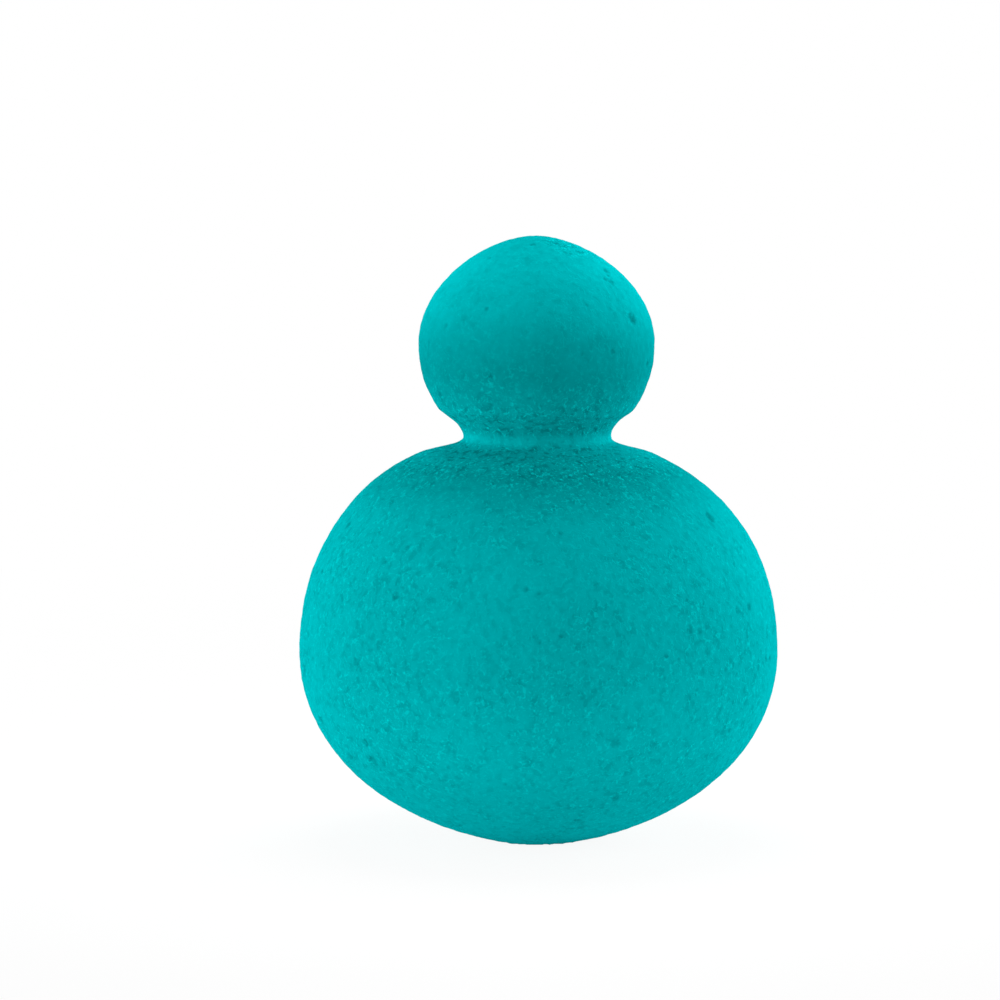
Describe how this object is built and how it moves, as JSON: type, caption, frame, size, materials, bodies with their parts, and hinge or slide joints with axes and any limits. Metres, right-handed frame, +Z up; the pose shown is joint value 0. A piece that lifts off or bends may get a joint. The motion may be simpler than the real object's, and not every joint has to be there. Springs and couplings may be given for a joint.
{
  "type": "makeup sponge",
  "caption": "Gourd-shaped makeup sponge of soft open-cell foam: a large round bulb to stand on, a narrow bending waist and a small round bulb.",
  "frame": {"origin": "centre of the flat foot under the large bulb, on the surface it stands on", "axes": "+Z up along the axis of revolution, from the large bulb to the small bulb; X and Y are equal"},
  "size_m": [0.0474, 0.0474, 0.06],
  "materials": {
    "foam": "matte open-cell polyurethane foam, teal, with fine cells"
  },
  "bodies": {
    "large_bulb_body": {"large_bulb": "foam"},
    "neck_body": {"neck": "foam"},
    "small_bulb_body": {"small_bulb": "foam"}
  },
  "joints": [
    {"name": "neck_bend_side", "type": "hinge", "parent": "large_bulb_body", "child": "neck_body", "pos_m": [0, 0, 0.04005], "axis": [0, 1, 0], "range_deg": [-30, 30], "stiffness_Nm_per_rad": 0.01, "deforming": ["neck"]},
    {"name": "neck_bend_front", "type": "hinge", "parent": "neck_body", "child": "small_bulb_body", "pos_m": [0, 0, 0.04005], "axis": [1, 0, 0], "range_deg": [-30, 30], "stiffness_Nm_per_rad": 0.01, "deforming": ["neck"]}
  ]
}
